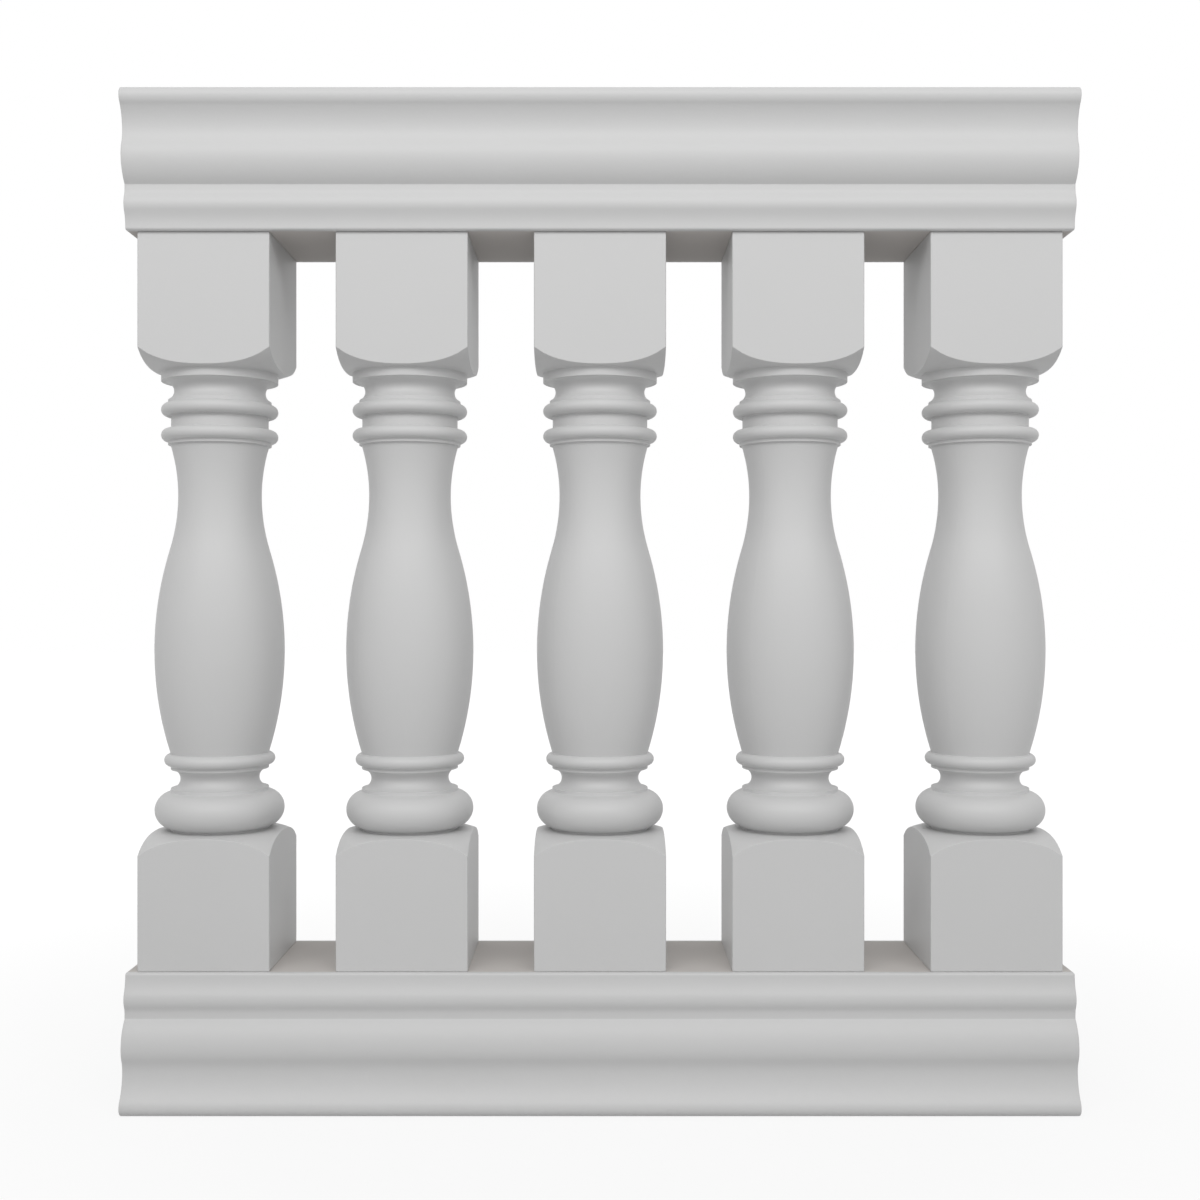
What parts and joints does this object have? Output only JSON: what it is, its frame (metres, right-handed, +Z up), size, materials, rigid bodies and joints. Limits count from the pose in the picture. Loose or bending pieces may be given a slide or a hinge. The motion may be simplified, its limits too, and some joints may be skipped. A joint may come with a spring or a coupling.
{
  "type": "deck railing section",
  "caption": "Moulded deck railing section: turned vase-shaped balusters with square end blocks stand between two moulded rails, on steel core pipes that seat in the rails.",
  "frame": {"origin": "on the floor under the middle of the bottom rail", "axes": "+Z up, X along the rails, front faces -Y"},
  "size_m": [0.909, 0.1778, 0.9748],
  "materials": {
    "primed_urethane": "smooth moulded foam skin with a pale grey-white primer",
    "galvanised_pipe": "galvanised, dull"
  },
  "bodies": {
    "root": {"bottom_rail": "primed_urethane", "top_rail": "primed_urethane", "baluster_1": "primed_urethane", "baluster_2": "primed_urethane", "baluster_3": "primed_urethane", "baluster_4": "primed_urethane", "baluster_5": "primed_urethane", "core_pipe_1": "galvanised_pipe", "core_pipe_2": "galvanised_pipe", "core_pipe_3": "galvanised_pipe", "core_pipe_4": "galvanised_pipe", "core_pipe_5": "galvanised_pipe"}
  },
  "joints": []
}
